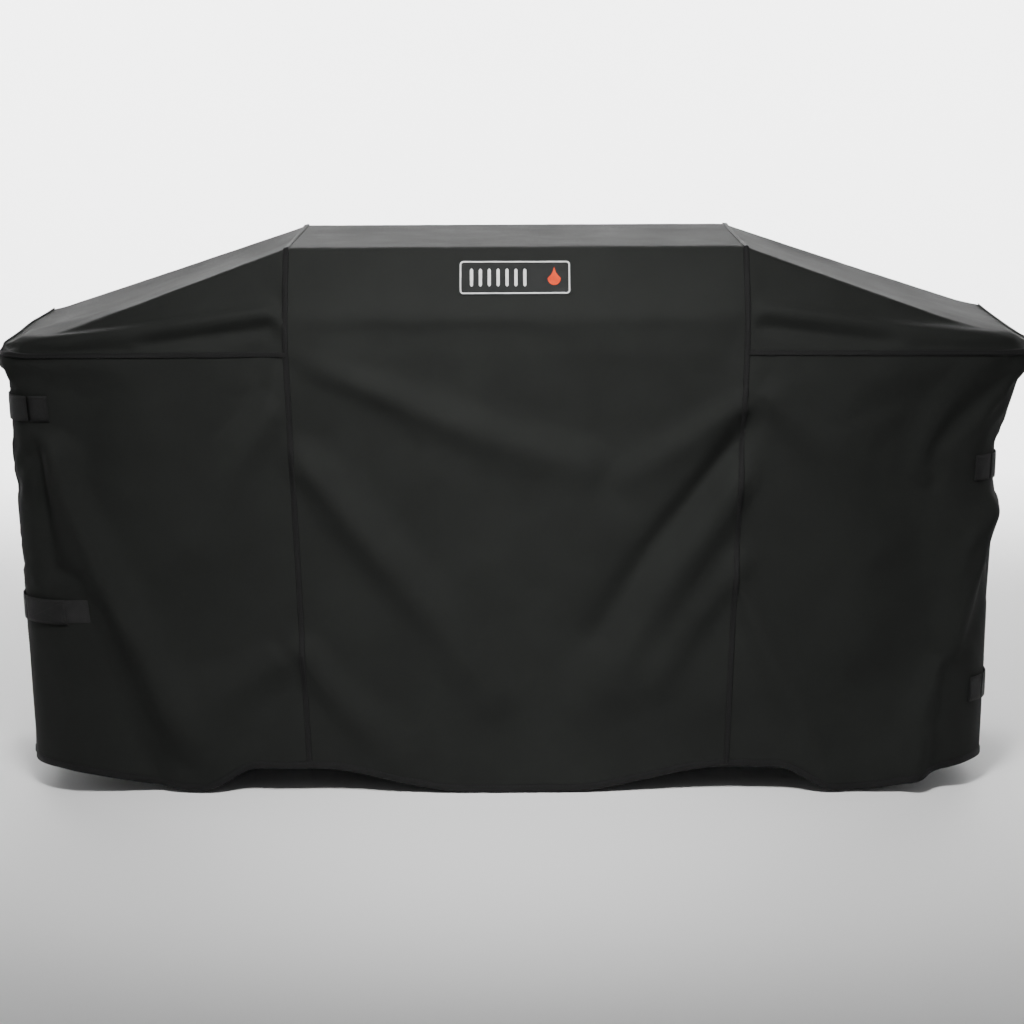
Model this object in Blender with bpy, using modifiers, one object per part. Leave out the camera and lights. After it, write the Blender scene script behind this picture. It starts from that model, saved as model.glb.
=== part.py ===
"""A fitted cover for a wide gas grill, in the shape it takes over a hood and two side tables.

Metres, +Z up. The cover's front faces -Y, its length runs along X, and the origin is on the
floor under its middle. Every fabric panel is a thin shell, held apart from its neighbours by
the bound seam that joins them. Four webbing straps cinch the ends with hook and loop.
"""

import math

import bmesh
import bpy
import numpy as np
from mathutils import Vector

# Driving dimensions of the covered shape
TABLE_HALF_WIDTH = 0.900
TABLE_HALF_DEPTH = 0.330
HEM_HALF_DEPTH = 0.275
TABLE_CORNER_RADIUS = 0.050
HEM_CORNER_RADIUS = 0.100
SHOULDER_SEAM_Z = 0.817
TABLE_TOP_Z = 0.830
HOOD_TOP_Z = 0.998
HOOD_HALF_WIDTH = 0.400
HOOD_HEM_HALF_WIDTH = 0.374
HOOD_FRONT_Y = -0.270
HOOD_BACK_Y = 0.190
HANDLE_BULGE = Vector((0.0, -0.324, 0.878))
REAR_BULGE = Vector((0.0, 0.300, 0.900))

# The upper straps draw each end in to a waist: its height, half width there and at the hem
WAIST = {-1: (0.752, 0.893, 0.889), 1: (0.640, 0.852, 0.857)}

# The hem hangs in lobes and rises over each leg of the grill
HEM_ARCH_Z = 0.045
HEM_END_Z = 0.042
HEM_END_X = 0.845
CENTRE_LOBE_HALF_WIDTH = 0.090
SIDE_LOBE_X = (0.465, 0.575, 0.605)

# Cloth, seams and webbing
FABRIC = 0.0018
SEAM_INSET = 0.0032
SEAM_RADIUS = 0.0020
SEAM_END_GAP = 0.0060
TOUCH_GAP = 0.0003
HEM_TAPE_HEIGHT = 0.012
HEM_TAPE_THICKNESS = 0.0026
WEBBING = 0.0016
WEBBING_WIDTH = 0.046
PAD = 0.0012
PAD_WIDTH = 0.042
HINGE_GAP = 0.0032

# Straps: side (-1 left, +1 right), name, height, distance of the sewn end past the start of the
# corner (against the strap's direction), and direction: 1 wraps from the front to the end,
# -1 wraps from the end to the front
STRAPS = (
    (-1, "left_upper", 0.722, -0.017, 1),
    (-1, "left_lower", 0.350, 0.294, -1),
    (1, "right_upper", 0.606, 0.022, 1),
    (1, "right_lower", 0.190, 0.056, 1),
)
ANCHOR_LENGTH = 0.034
STRAP_LENGTH = 0.175
TIP_LENGTH = 0.085
HOOK_PAD_LENGTH = 0.070
LOOP_PAD_LENGTH = 0.125
STRAP_OFFSET = TOUCH_GAP * 3 + PAD * 2
ANCHOR_THICKNESS = 2 * WEBBING

# Label
LABEL_WIDTH = 0.197
LABEL_HEIGHT = 0.066
LABEL_THICKNESS = 0.0010
LABEL_MIDDLE = 0.45

# Stations along the shoulder, from the front seam (0) over the top to the back seam (1)
FRONT_BULGE_AT = 0.10
FRONT_EDGE_AT = 0.24
BACK_EDGE_AT = 0.76
REAR_BULGE_AT = 0.90
TABLE_EDGE_SHARE = 0.94

# Stations along the centre panel: hem, seam height, bulge and hood edge, front then back
CENTRE_STATIONS = (0.0, 0.80, 0.88, 1.0, 2.0, 2.12, 2.20, 3.0)

# Stations round a corner skirt: from the centre seam to the arc's start (1) and its end (2)
SKIRT_STATIONS = (0.0, 0.14, 0.28, 0.42, 0.56, 0.70, 0.85, 1.0, 1.25, 1.5, 1.75, 2.0)
CLOTH_ABOVE_HEM = HEM_TAPE_HEIGHT + 0.0012

# Rows up a skirt or an end: from the hem to the waist (1) and the shoulder seam (2)
SKIRT_ROWS = (0.0, 0.25, 0.5, 0.75, 1.0, 2.0)

CENTRE_POINT = Vector((0.0, 0.0, 0.45))
SIDES = ((-1, "left"), (1, "right"))


def lerp(low, high, t):
    return low + (high - low) * t


def smooth(t):
    t = min(1.0, max(0.0, t))
    return t * t * (3 - 2 * t)


def material(name, colour, roughness):
    made = bpy.data.materials.new(name)
    made.use_nodes = True
    shader = made.node_tree.nodes["Principled BSDF"]
    shader.inputs["Base Color"].default_value = (*colour, 1.0)
    shader.inputs["Roughness"].default_value = roughness
    shader.inputs["Metallic"].default_value = 0.0
    return made


# The shape under the cloth


def skirt_share(z):
    """How far up the skirt a height is, from the hem (0) to the shoulder seam (1)."""
    return min(1.0, max(0.0, z / SHOULDER_SEAM_Z))


def half_width(z, side):
    waist_z, waist, hem = WAIST[side]
    heights = (0.0, waist_z, SHOULDER_SEAM_Z)
    return float(np.interp(z, heights, (hem, waist, TABLE_HALF_WIDTH)))


def half_depth(z):
    return lerp(HEM_HALF_DEPTH, TABLE_HALF_DEPTH, skirt_share(z))


def corner_radius(z):
    return lerp(HEM_CORNER_RADIUS, TABLE_CORNER_RADIUS, skirt_share(z))


def centre_half_width(z):
    return lerp(HOOD_HEM_HALF_WIDTH, HOOD_HALF_WIDTH, skirt_share(z))


def hem_z(x):
    """The height of the hem along the front and the back."""
    x = abs(x)
    if x <= HOOD_HEM_HALF_WIDTH:
        reach = HOOD_HEM_HALF_WIDTH - CENTRE_LOBE_HALF_WIDTH
        return HEM_ARCH_Z * smooth((x - CENTRE_LOBE_HALF_WIDTH) / reach)
    arch, start, end = SIDE_LOBE_X
    if x <= start:
        return HEM_ARCH_Z * smooth((start - x) / (start - arch))
    return HEM_END_Z * smooth((x - end) / (HEM_END_X - end))


def outline(run, z, side, back=1):
    """The plan outline round a corner at height z, and its outward normal.

    run is the distance past the start of the corner's arc: below 0 on the long face, then round
    the arc, then along the end. back is 1 for the front corners and -1 for the rear ones.
    """
    wide, deep, radius = half_width(z, side), half_depth(z), corner_radius(z)
    arc = math.pi * radius / 2
    if run <= 0:
        x, y, normal = wide - radius + run, -deep, (0.0, -1.0)
    elif run <= arc:
        turn = run / radius
        normal = (math.sin(turn), -math.cos(turn))
        x = wide - radius + radius * normal[0]
        y = radius - deep + radius * normal[1]
    else:
        x, y, normal = wide, radius - deep + run - arc, (1.0, 0.0)
    return Vector((side * x, back * y, z)), Vector((side * normal[0], back * normal[1], 0.0))


def skirt_point(u, z, side, back, inset=0.0):
    """A point on a corner skirt: u is 0 at the centre seam, 1 where the arc starts, 2 at its end."""
    radius = corner_radius(z)
    if u <= 1:
        straight = half_width(z, side) - radius - centre_half_width(z)
        run = lerp(inset - straight, 0.0, u)
    else:
        run = (u - 1) * (math.pi * radius / 2 - inset)
    return outline(run, z, side, back)[0]


def hood_profile(v):
    """The middle's section above the shoulder seam, at its stations, from front to back."""
    stations = (0.0, FRONT_BULGE_AT, FRONT_EDGE_AT, BACK_EDGE_AT, REAR_BULGE_AT, 1.0)
    y = (-TABLE_HALF_DEPTH, HANDLE_BULGE.y, HOOD_FRONT_Y, HOOD_BACK_Y, REAR_BULGE.y, TABLE_HALF_DEPTH)
    z = (SHOULDER_SEAM_Z, HANDLE_BULGE.z, HOOD_TOP_Z, HOOD_TOP_Z, REAR_BULGE.z, SHOULDER_SEAM_Z)
    return float(np.interp(v, stations, y)), float(np.interp(v, stations, z))


def end_profile(v):
    """The top edge of an end panel at the same stations; its y is a share of the end's reach."""
    stations = (0.0, FRONT_EDGE_AT, BACK_EDGE_AT, 1.0)
    share = float(np.interp(v, stations, (-1.0, -TABLE_EDGE_SHARE, TABLE_EDGE_SHARE, 1.0)))
    z = float(np.interp(v, stations, (SHOULDER_SEAM_Z, TABLE_TOP_Z, TABLE_TOP_Z, SHOULDER_SEAM_Z)))
    return share, z


def shoulder_point(u, v, side):
    """Straight lines from the hood's side (u 0) over the table's edge; u counts as in skirt_point."""
    radius = TABLE_CORNER_RADIUS - SEAM_INSET
    turn = max(0.0, u - 1) * math.pi / 2
    arc_x = TABLE_HALF_WIDTH - TABLE_CORNER_RADIUS
    x = lerp(HOOD_HALF_WIDTH + SEAM_INSET, arc_x, min(1.0, u)) + radius * math.sin(turn)
    reach = TABLE_HALF_DEPTH - TABLE_CORNER_RADIUS + radius * math.cos(turn)
    blend = (x - HOOD_HALF_WIDTH) / (TABLE_HALF_WIDTH - HOOD_HALF_WIDTH)
    hood_y, hood_z = hood_profile(v)
    share, end_z = end_profile(v)
    y = reach * lerp(hood_y / TABLE_HALF_DEPTH, share, blend)
    return Vector((side * x, y, lerp(hood_z, end_z, blend)))


def centre_point(v):
    """(y, z) along the centre panel, hem to hem: v runs 0 to 1 up the front, to 2 over, to 3 down."""
    y = (-HEM_HALF_DEPTH, -TABLE_HALF_DEPTH, HANDLE_BULGE.y, HOOD_FRONT_Y,
         HOOD_BACK_Y, REAR_BULGE.y, TABLE_HALF_DEPTH, HEM_HALF_DEPTH)
    z = (0.0, SHOULDER_SEAM_Z, HANDLE_BULGE.z, HOOD_TOP_Z,
         HOOD_TOP_Z, REAR_BULGE.z, SHOULDER_SEAM_Z, 0.0)
    return float(np.interp(v, CENTRE_STATIONS, y)), float(np.interp(v, CENTRE_STATIONS, z))


# Making solids


def shell(name, surface, columns, rows, thickness, group, finish, origin=None):
    """Cloth over surface(u, v) at those columns and rows, facing out and thickened inwards."""
    origin = origin or Vector((0.0, 0.0, 0.0))
    cloth = bmesh.new()
    bmesh.ops.create_grid(cloth, x_segments=len(columns) - 1, y_segments=len(rows) - 1, size=0.5)
    for vertex in cloth.verts:
        u = columns[round((vertex.co.x + 0.5) * (len(columns) - 1))]
        v = rows[round((vertex.co.y + 0.5) * (len(rows) - 1))]
        vertex.co = surface(u, v) - origin
    bmesh.ops.remove_doubles(cloth, verts=cloth.verts, dist=1e-5)
    cloth.normal_update()
    centre = CENTRE_POINT - origin
    outward = sum(f.normal.dot(f.calc_center_median() - centre) for f in cloth.faces)
    if outward < 0:
        bmesh.ops.reverse_faces(cloth, faces=cloth.faces)
    mesh = bpy.data.meshes.new(name)
    cloth.to_mesh(mesh)
    cloth.free()
    made = bpy.data.objects.new(name, mesh)
    made.location = origin
    mesh.materials.append(finish)
    group.objects.link(made)
    thick = made.modifiers.new("thickness", "SOLIDIFY")
    thick.thickness = thickness
    thick.offset = -1.0
    thick.use_even_offset = True
    return made


def steps(low, high, count):
    """Evenly spaced stations from low to high, both included."""
    return [lerp(low, high, i / count) for i in range(count + 1)]


def piping(name, points, group, finish):
    """A round bound seam along points, one straight piece between each two."""
    curve = bpy.data.curves.new(name, "CURVE")
    curve.dimensions = "3D"
    curve.bevel_depth = SEAM_RADIUS
    curve.bevel_resolution = 1
    curve.use_fill_caps = True
    spline = curve.splines.new("POLY")
    spline.points.add(len(points) - 1)
    for at, point in zip(spline.points, points):
        at.co = (*point, 1.0)
    curve.materials.append(finish)
    made = bpy.data.objects.new(name, curve)
    group.objects.link(made)
    return made


def shorten(points, start, end):
    """The same path with its first and last stretches cut back by these lengths."""
    points = [Vector(p) for p in points]
    points[0] += (points[1] - points[0]).normalized() * start
    points[-1] += (points[-2] - points[-1]).normalized() * end
    return points


# Fabric panels


def centre_panel(name, group, finish):
    """One strip of cloth from the front hem, over the hood and down to the back hem."""

    def surface(u, v):
        y, z = centre_point(v)
        wide = centre_half_width(z) - SEAM_INSET
        x = lerp(-wide, wide, u)
        rise = hem_z(x) + CLOTH_ABOVE_HEM
        return Vector((x, y, z + rise * (1 - smooth(z / SHOULDER_SEAM_Z))))

    rows = steps(0.0, 0.8, 5) + [0.88, 1.0, 2.0, 2.12] + steps(2.2, 3.0, 5)
    return shell(name, surface, steps(0.0, 1.0, 12), rows, FABRIC, group, finish)


def shoulder_panel(side, name, group, finish):
    def surface(u, v):
        return shoulder_point(u, v, side)

    columns = steps(0.0, 1.0, 4) + [1.33, 1.67, 2.0]
    rows = [0.0, FRONT_BULGE_AT, FRONT_EDGE_AT, 0.5, BACK_EDGE_AT, REAR_BULGE_AT, 1.0]
    return shell(name, surface, columns, rows, FABRIC, group, finish)


def skirt_height(foot, top, v, side):
    """The height of row v: 0 at the foot, 1 at the waist, 2 at the top."""
    waist = WAIST[side][0]
    return lerp(foot, waist, v) if v <= 1 else lerp(waist, top, v - 1)


def skirt_panel(side, back, name, group, finish):
    top = SHOULDER_SEAM_Z - SEAM_INSET

    def surface(u, v):
        foot = skirt_point(u, 0.0, side, back, SEAM_INSET)
        z = skirt_height(hem_z(foot.x) + CLOTH_ABOVE_HEM, top, v, side)
        return skirt_point(u, z, side, back, SEAM_INSET)

    return shell(name, surface, SKIRT_STATIONS, SKIRT_ROWS, FABRIC, group, finish)


def end_panel(side, name, group, finish):
    def surface(u, v):
        share, top = end_profile(u)
        z = skirt_height(HEM_END_Z + CLOTH_ABOVE_HEM, top - SEAM_INSET, v, side)
        reach = half_depth(z) - corner_radius(z) - SEAM_INSET
        return Vector((side * half_width(z, side), share * reach, z))

    columns = [0.0, FRONT_EDGE_AT, 0.5, BACK_EDGE_AT, 1.0]
    return shell(name, surface, columns, SKIRT_ROWS, FABRIC, group, finish)


def hem_tape(name, group, finish):
    """One tape folded over the raw edge, all the way round the hem."""
    loop = []
    for side, back in ((1, 1), (1, -1), (-1, -1), (-1, 1)):
        lobes = [(side * x, back) for x in steps(0.0, HOOD_HEM_HALF_WIDTH, 6)]
        corner = [(skirt_point(u, 0.0, side, back), back) for u in SKIRT_STATIONS]
        points = [Vector((x, -b * HEM_HALF_DEPTH, 0.0)) for x, b in lobes[:-1]]
        points += [at for at, _ in corner]
        loop += points if side * back > 0 else points[::-1]

    def surface(u, v):
        at = loop[u % len(loop)].copy()
        z = hem_z(at.x)
        return Vector((at.x, at.y, z + HEM_TAPE_HEIGHT * v))

    stations = list(range(len(loop) + 1))
    return shell(name, surface, stations, [0.0, 1.0], HEM_TAPE_THICKNESS, group, finish)


# Bound seams


def centre_seam(side, name, group, finish):
    """Runs from the front hem up, over the hood's edges and down to the back hem."""
    legs = []
    for back in (1, -1):
        foot = HEM_ARCH_Z + HEM_TAPE_HEIGHT
        heights = [foot, 0.35, SHOULDER_SEAM_Z]
        legs.append([Vector((side * centre_half_width(z), -back * half_depth(z), z)) for z in heights])
    over = [hood_profile(v) for v in (FRONT_BULGE_AT, FRONT_EDGE_AT, BACK_EDGE_AT, REAR_BULGE_AT)]
    middle = [Vector((side * HOOD_HALF_WIDTH, y, z)) for y, z in over]
    path = legs[0] + middle + legs[1][::-1]
    return piping(name, shorten(path, SEAM_INSET, SEAM_INSET), group, finish)


def shoulder_seam(side, back, name, group, finish):
    """Joins a skirt to the shoulder along the edge of the side table."""
    points = [skirt_point(u, SHOULDER_SEAM_Z, side, back) for u in (0.0, 1.0, 1.33, 1.67, 2.0)]
    return piping(name, shorten(points, SEAM_END_GAP, SEAM_END_GAP), group, finish)


def end_seam(side, name, group, finish):
    """Runs round an end panel, from the front hem over the table's edge to the back hem."""
    reach = TABLE_HALF_DEPTH - TABLE_CORNER_RADIUS
    legs = []
    for back in (1, -1):
        foot = HEM_END_Z + HEM_TAPE_HEIGHT
        legs.append([skirt_point(2.0, z, side, back) for z in (foot, 0.35, WAIST[side][0])])
    over = [end_profile(v) for v in (0.0, FRONT_EDGE_AT, BACK_EDGE_AT, 1.0)]
    top = [Vector((side * TABLE_HALF_WIDTH, share * reach, z)) for share, z in over]
    path = legs[0] + top + legs[1][::-1]
    return piping(name, shorten(path, SEAM_INSET, SEAM_INSET), group, finish)


# Straps


def hinge_line(run, side, height, offset):
    """The point and the upward direction of a strap's hinge, in the webbing's own plane."""
    low, _ = outline(run, height - WEBBING_WIDTH / 2, side)
    high, _ = outline(run, height + WEBBING_WIDTH / 2, side)
    at, normal = outline(run, height, side)
    return at + normal * offset, (high - low).normalized()


def band(name, span, place, layer, count, group, finish, hinge=None):
    """A strip laid on the cloth: span in run, place (side, height, width), layer (offset, depth)."""
    side, height, width = place
    offset, depth = layer

    def surface(u, v):
        z = height + lerp(-width / 2, width / 2, v)
        at, normal = outline(lerp(span[0], span[1], u), z, side)
        return at + normal * (offset + depth)

    origin = None
    if hinge is not None:
        origin, _ = hinge_line(hinge, side, height, STRAP_OFFSET + WEBBING / 2)
    return shell(name, surface, steps(0.0, 1.0, count), [0.0, 1.0], depth, group, finish, origin)


def strap_runs(sewn, way):
    """Where the anchor ends, the strap starts and ends, and the tip starts, as runs."""
    anchor_end = sewn + way * ANCHOR_LENGTH
    root = anchor_end + way * HINGE_GAP
    end = root + way * STRAP_LENGTH
    return anchor_end, root, end, end + way * HINGE_GAP


def strap(spec, group, finishes):
    """The sewn anchor, the strap round the corner, its tip with the hook pad, and the loop pad."""
    side, name, height, sewn, way = spec
    webbing, hook, loop = finishes
    anchor_end, root, end, tip = strap_runs(sewn, way)
    pad = tip + way * (TIP_LENGTH - HOOK_PAD_LENGTH) / 2
    loop_end = tip + way * LOOP_PAD_LENGTH
    wide, narrow = (side, height, WEBBING_WIDTH), (side, height, PAD_WIDTH)
    band(f"{name}_strap_anchor", (sewn, anchor_end), wide, (TOUCH_GAP, ANCHOR_THICKNESS),
         6, group, webbing)
    band(f"{name}_strap", (root, end), wide, (STRAP_OFFSET, WEBBING), 24, group, webbing,
         root - way * HINGE_GAP / 2)
    hinge = tip - way * HINGE_GAP / 2
    band(f"{name}_strap_tip", (tip, tip + way * TIP_LENGTH), wide, (STRAP_OFFSET, WEBBING),
         12, group, webbing, hinge)
    band(f"{name}_hook_pad", (pad, pad + way * HOOK_PAD_LENGTH), narrow,
         (STRAP_OFFSET - TOUCH_GAP - PAD, PAD), 10, group, hook, hinge)
    band(f"{name}_loop_pad", (pad, loop_end), narrow, (TOUCH_GAP, PAD), 16, group, loop)


# Label


def label_patch(group, finish):
    """A woven label on the hood's front slope."""
    top = Vector((0.0, HOOD_FRONT_Y, HOOD_TOP_Z))
    along = (HANDLE_BULGE - top).normalized()
    outward = Vector((0.0, along.z, -along.y))
    middle = top + (HANDLE_BULGE - top) * LABEL_MIDDLE

    def surface(u, v):
        down = along * lerp(LABEL_HEIGHT / 2, -LABEL_HEIGHT / 2, v)
        place = middle + down + outward * (TOUCH_GAP + LABEL_THICKNESS)
        return place + Vector((lerp(-LABEL_WIDTH / 2, LABEL_WIDTH / 2, u), 0.0, 0.0))

    return shell("label_patch", surface, [0.0, 1.0], [0.0, 1.0], LABEL_THICKNESS, group, finish)


def clear_scene():
    for old in list(bpy.data.objects):
        bpy.data.objects.remove(old)


def main():
    clear_scene()
    group = bpy.data.collections.new("grill_cover")
    bpy.context.scene.collection.children.link(group)
    cloth = material("cover_fabric", (0.020, 0.021, 0.020), 0.75)
    thread = material("seam_binding", (0.014, 0.014, 0.014), 0.80)
    webbing = material("webbing", (0.024, 0.024, 0.024), 0.70)
    hook = material("hook_tape", (0.012, 0.012, 0.012), 0.60)
    loop = material("loop_tape", (0.016, 0.016, 0.016), 0.90)
    label = material("label", (0.022, 0.023, 0.023), 0.60)

    centre_panel("centre_panel", group, cloth)
    label_patch(group, label)
    hem_tape("hem_tape", group, thread)
    for side, hand in SIDES:
        shoulder_panel(side, f"{hand}_shoulder_panel", group, cloth)
        end_panel(side, f"{hand}_end_panel", group, cloth)
        centre_seam(side, f"{hand}_centre_seam", group, thread)
        end_seam(side, f"{hand}_end_seam", group, thread)
        for back, face in ((1, "front"), (-1, "back")):
            skirt_panel(side, back, f"{hand}_{face}_skirt", group, cloth)
            shoulder_seam(side, back, f"{hand}_{face}_shoulder_seam", group, thread)
    for spec in STRAPS:
        strap(spec, group, (webbing, hook, loop))


main()
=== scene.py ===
"""The looks of a fitted grill cover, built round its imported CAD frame.

The whole cover is laid out as one welded cloth in the shape that it takes over a grill, draped by
a short cloth simulation over a stand-in for that grill, and then cut into its sewn panels. Seams,
binding, stitches, straps and the label follow the draped cloth.
"""

import math

import bmesh
import bpy
import numpy as np
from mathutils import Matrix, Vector
from mathutils.bvhtree import BVHTree
from mathutils.kdtree import KDTree


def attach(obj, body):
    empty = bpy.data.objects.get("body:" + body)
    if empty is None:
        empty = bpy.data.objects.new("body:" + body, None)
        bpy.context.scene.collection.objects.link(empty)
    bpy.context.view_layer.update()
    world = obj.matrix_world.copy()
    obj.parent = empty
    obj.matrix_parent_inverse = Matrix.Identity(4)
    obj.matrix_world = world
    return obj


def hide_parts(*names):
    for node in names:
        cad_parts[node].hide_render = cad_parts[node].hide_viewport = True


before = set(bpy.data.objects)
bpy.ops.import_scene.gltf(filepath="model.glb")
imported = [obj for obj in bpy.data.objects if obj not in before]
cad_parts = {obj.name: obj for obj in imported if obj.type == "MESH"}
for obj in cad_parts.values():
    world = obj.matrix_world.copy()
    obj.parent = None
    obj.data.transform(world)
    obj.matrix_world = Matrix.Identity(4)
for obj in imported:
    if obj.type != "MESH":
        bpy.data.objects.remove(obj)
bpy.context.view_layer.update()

# Sizes, repeated from the CAD model
TABLE_HALF_WIDTH = 0.900
TABLE_HALF_DEPTH = 0.330
HEM_HALF_DEPTH = 0.275
TABLE_CORNER_RADIUS = 0.050
HEM_CORNER_RADIUS = 0.100
SEAM_Z = 0.817
TABLE_TOP_Z = 0.830
HOOD_TOP_Z = 0.998
HOOD_HALF_WIDTH = 0.400
HOOD_HEM_HALF_WIDTH = 0.374
HOOD_FRONT_Y = -0.270
HOOD_BACK_Y = 0.190
HANDLE_Y, HANDLE_Z = -0.324, 0.878
REAR_Y, REAR_Z = 0.300, 0.900
WAIST = {-1: (0.752, 0.893, 0.889), 1: (0.640, 0.852, 0.857)}
HEM_ARCH_Z = 0.045
HEM_END_Z = 0.042
HEM_END_X = 0.845
CENTRE_LOBE = 0.090
SIDE_LOBE_X = (0.465, 0.575, 0.605)
LABEL_WIDTH = 0.197
LABEL_HEIGHT = 0.066
LABEL_MIDDLE = 0.45
TOUCH_GAP = 0.0003
WEBBING = 0.0016
WEBBING_WIDTH = 0.046
PAD = 0.0012
HINGE_GAP = 0.0032
ANCHOR_LENGTH = 0.034
STRAP_LENGTH = 0.175
TIP_LENGTH = 0.085
STRAP_OFFSET = TOUCH_GAP * 3 + PAD * 2
STRAPS = (
    (-1, "left_upper", 0.722, -0.017, 1),
    (-1, "left_lower", 0.350, 0.294, -1),
    (1, "right_upper", 0.606, 0.022, 1),
    (1, "right_lower", 0.190, 0.056, 1),
)

# Mesh density, in cells
ACROSS_HOOD = 64
ACROSS_TABLE = 38
ROUND_CORNER = 12
UP_SKIRT = 64
OVER_FRONT = 14
OVER_TOP = 36
OVER_BACK = 12

# The cloth, its folds and its simulation
CLOTH_THICKNESS = 0.0008
TABLE_EDGE_SHARE = 0.86
HEM_SINK = 0.0125
HEM_TAPE = 0.012
LABEL_BARS = 7
FOLD_DEPTH = 1.45
CORNER_PUFF = 0.008
SIM_FRAMES = 30
SIM_QUALITY = 6
SLACK = 0.008
GRIP_FROM_X = 0.76
GRIP_TO_Y = 0.12

# Camera, light and backdrop
CAMERA_DISTANCE = 4.764
CAMERA_HEIGHT = 1.426
CAMERA_PITCH = 11.37
CAMERA_ROLL = 0.29
CAMERA_LENS = 90.1
CAMERA_SHIFT = -0.0015
WORLD_LIGHT = 0.20
TOP_LIGHT = 1
FRONT_LIGHT = 16
END_LIGHT = 4
WALL_LIGHT = 540
FLOOR_REACH = 12.0
WALL_Y = 4.5
WALL_CURVE = 1.5
WALL_HEIGHT = 7.0

# Which CAD panel each patch of cloth stands for
CAD_PANEL = {
    "centre_cloth": "centre_panel",
    "left_shoulder_cloth": "left_shoulder_panel",
    "right_shoulder_cloth": "right_shoulder_panel",
    "left_end_cloth": "left_end_panel",
    "right_end_cloth": "right_end_panel",
    "left_front_cloth": "left_front_skirt",
    "right_front_cloth": "right_front_skirt",
    "left_back_cloth": "left_back_skirt",
    "right_back_cloth": "right_back_skirt",
}

SIDES = ((-1, "left"), (1, "right"))


def lerp(low, high, t):
    return low + (high - low) * t


def smooth(t):
    t = min(1.0, max(0.0, t))
    return t * t * (3 - 2 * t)


def steps(low, high, count):
    return [lerp(low, high, i / count) for i in range(count + 1)]


# The covered shape


def skirt_share(z):
    return min(1.0, max(0.0, z / SEAM_Z))


def half_width(z, side):
    waist_z, waist, hem = WAIST[side]
    return float(np.interp(z, (0.0, waist_z, SEAM_Z), (hem, waist, TABLE_HALF_WIDTH)))


def half_depth(z):
    return lerp(HEM_HALF_DEPTH, TABLE_HALF_DEPTH, skirt_share(z))


def corner_radius(z):
    return lerp(HEM_CORNER_RADIUS, TABLE_CORNER_RADIUS, skirt_share(z))


def centre_half_width(z):
    return lerp(HOOD_HEM_HALF_WIDTH, HOOD_HALF_WIDTH, skirt_share(z))


def hem_z(x):
    """The hem's height, laid out high by what the cloth sinks as it settles."""
    x = abs(x)
    arch, start, end = SIDE_LOBE_X
    if x <= HOOD_HEM_HALF_WIDTH:
        rise = HEM_ARCH_Z * smooth((x - CENTRE_LOBE) / (HOOD_HEM_HALF_WIDTH - CENTRE_LOBE))
    elif x <= start:
        rise = HEM_ARCH_Z * smooth((start - x) / (start - arch))
    else:
        rise = HEM_END_Z * smooth((x - end) / (HEM_END_X - end))
    return rise + HEM_SINK


def outline(run, z, side, back=1):
    """The plan outline round a corner at height z, and its outward normal, as in the CAD model."""
    wide, deep, radius = half_width(z, side), half_depth(z), corner_radius(z)
    arc = math.pi * radius / 2
    if run <= 0:
        x, y, normal = wide - radius + run, -deep, (0.0, -1.0)
    elif run <= arc:
        turn = run / radius
        normal = (math.sin(turn), -math.cos(turn))
        x = wide - radius + radius * normal[0]
        y = radius - deep + radius * normal[1]
    else:
        x, y, normal = wide, radius - deep + run - arc, (1.0, 0.0)
    return Vector((side * x, back * y, z)), Vector((side * normal[0], back * normal[1], 0.0))


def skirt_point(u, z, side, back):
    """u is 0 at the centre seam, 1 where the corner's arc starts and 2 at its end."""
    radius = corner_radius(z)
    if u <= 1:
        straight = half_width(z, side) - radius - centre_half_width(z)
        run = lerp(-straight, 0.0, u)
    else:
        run = (u - 1) * math.pi * radius / 2
    return outline(run, z, side, back)[0]


def hood_profile(v):
    """(y, z) over the middle: v is 0 at the front seam, 1 to 2 over the top, 3 at the rear seam."""
    stations = (0.0, 0.38, 1.0, 2.0, 2.62, 3.0)
    y = (-TABLE_HALF_DEPTH, HANDLE_Y, HOOD_FRONT_Y, HOOD_BACK_Y, REAR_Y, TABLE_HALF_DEPTH)
    z = (SEAM_Z, HANDLE_Z, HOOD_TOP_Z, HOOD_TOP_Z, REAR_Z, SEAM_Z)
    return float(np.interp(v, stations, y)), float(np.interp(v, stations, z))


def end_profile(v):
    """(share of the end's reach, z) along an end panel's top edge, at the same stations."""
    share = float(np.interp(v, (0, 1, 2, 3), (-1.0, -TABLE_EDGE_SHARE, TABLE_EDGE_SHARE, 1.0)))
    z = float(np.interp(v, (0, 1, 2, 3), (SEAM_Z, TABLE_TOP_Z, TABLE_TOP_Z, SEAM_Z)))
    return share, z


def shoulder_point(u, v, side):
    turn = max(0.0, u - 1) * math.pi / 2
    arc_x = TABLE_HALF_WIDTH - TABLE_CORNER_RADIUS
    x = lerp(HOOD_HALF_WIDTH, arc_x, min(1.0, u)) + TABLE_CORNER_RADIUS * math.sin(turn)
    reach = TABLE_HALF_DEPTH - TABLE_CORNER_RADIUS * (1 - math.cos(turn))
    blend = (x - HOOD_HALF_WIDTH) / (TABLE_HALF_WIDTH - HOOD_HALF_WIDTH)
    hood_y, hood_z = hood_profile(v)
    share, end_z = end_profile(v)
    y = reach * lerp(hood_y / TABLE_HALF_DEPTH, share, blend)
    return Vector((side * x, y, lerp(hood_z, end_z, blend)))


# Patches of the welded cloth: name, panel, grid of points


def skirt_grid(side, back):
    columns = steps(0.0, 1.0, ACROSS_TABLE) + steps(1.0, 2.0, ROUND_CORNER)[1:]
    grid = []
    for t in steps(0.0, 1.0, UP_SKIRT):
        row = []
        for u in columns:
            foot = hem_z(skirt_point(u, 0.0, side, back).x)
            row.append(skirt_point(u, lerp(foot, SEAM_Z, t), side, back))
        grid.append(row)
    return grid


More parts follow.
